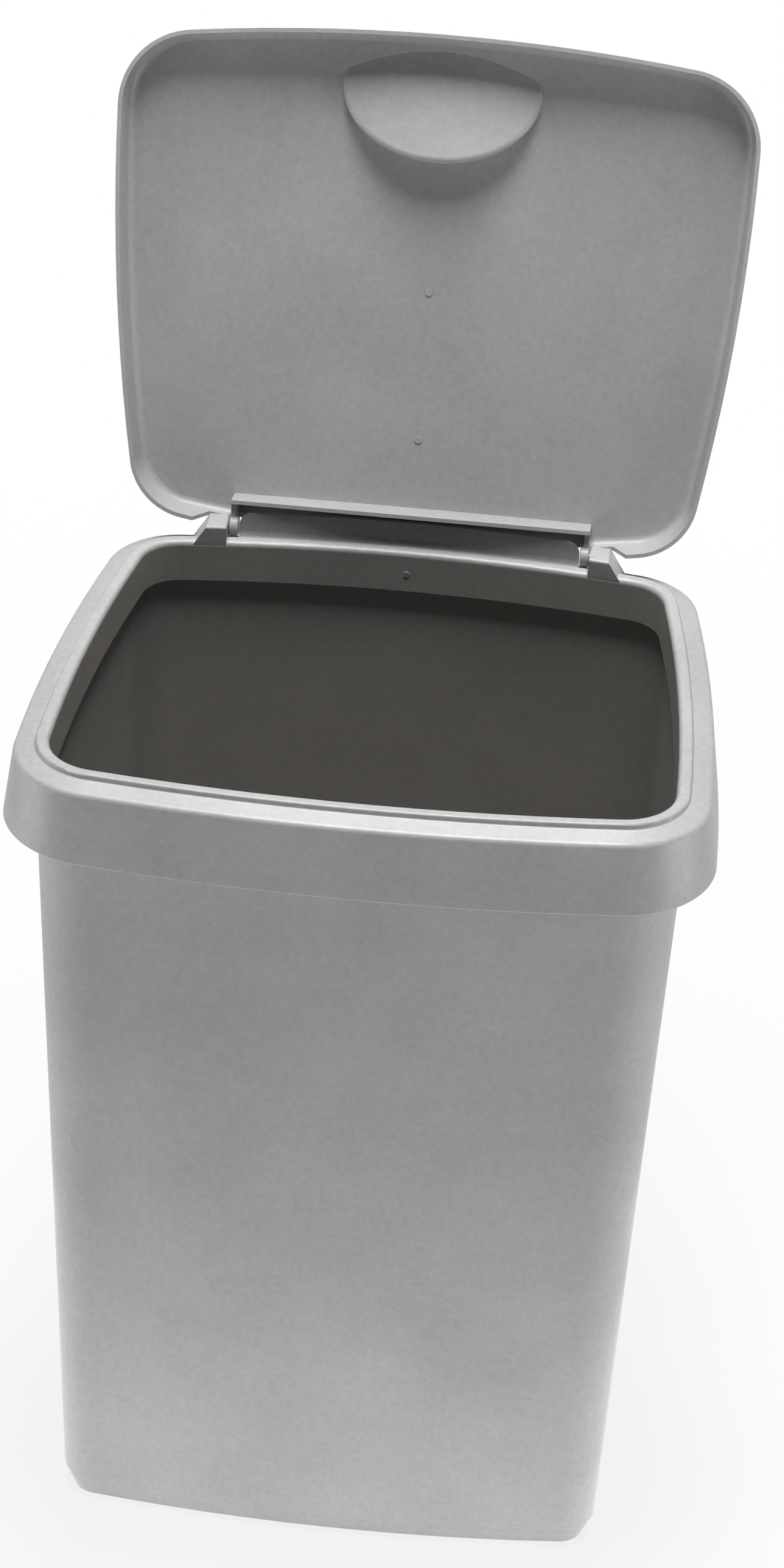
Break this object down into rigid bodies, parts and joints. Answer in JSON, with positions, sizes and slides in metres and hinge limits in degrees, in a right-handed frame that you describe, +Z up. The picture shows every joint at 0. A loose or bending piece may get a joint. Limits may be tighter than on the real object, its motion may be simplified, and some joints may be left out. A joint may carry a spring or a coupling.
{
  "type": "flip-lid waste bin",
  "caption": "Tapered plastic waste bin with a lift-off rim frame and a hinged flip lid that stands open, with a scooped finger pocket at its front.",
  "frame": {"origin": "on the floor, at the pad in the middle of the bucket's underside", "axes": "+Z up; -Y towards the front, where the lid is lifted; +X to the right as seen from the front"},
  "size_m": [0.3396, 0.3466, 0.7069],
  "materials": {
    "body_plastic": "fine-grained matt moulded plastic",
    "collar_plastic": "fine-grained matt moulded plastic",
    "lid_plastic": "fine-grained matt moulded plastic",
    "pin_steel": "bright drawn steel"
  },
  "bodies": {
    "bucket": {"body": "body_plastic"},
    "rim_frame": {"collar": "collar_plastic", "hinge_pin_left": "pin_steel", "hinge_pin_right": "pin_steel"},
    "flip_lid": {"lid": "lid_plastic"}
  },
  "joints": [
    {"name": "collar_lift", "type": "slide", "parent": "bucket", "child": "rim_frame", "axis": [0, 0, 1], "range_m": [0, 0.06]},
    {"name": "lid_hinge", "type": "hinge", "parent": "rim_frame", "child": "flip_lid", "pos_m": [0, 0.132, 0.456], "axis": [1, 0, 0], "range_deg": [0, 105]}
  ]
}
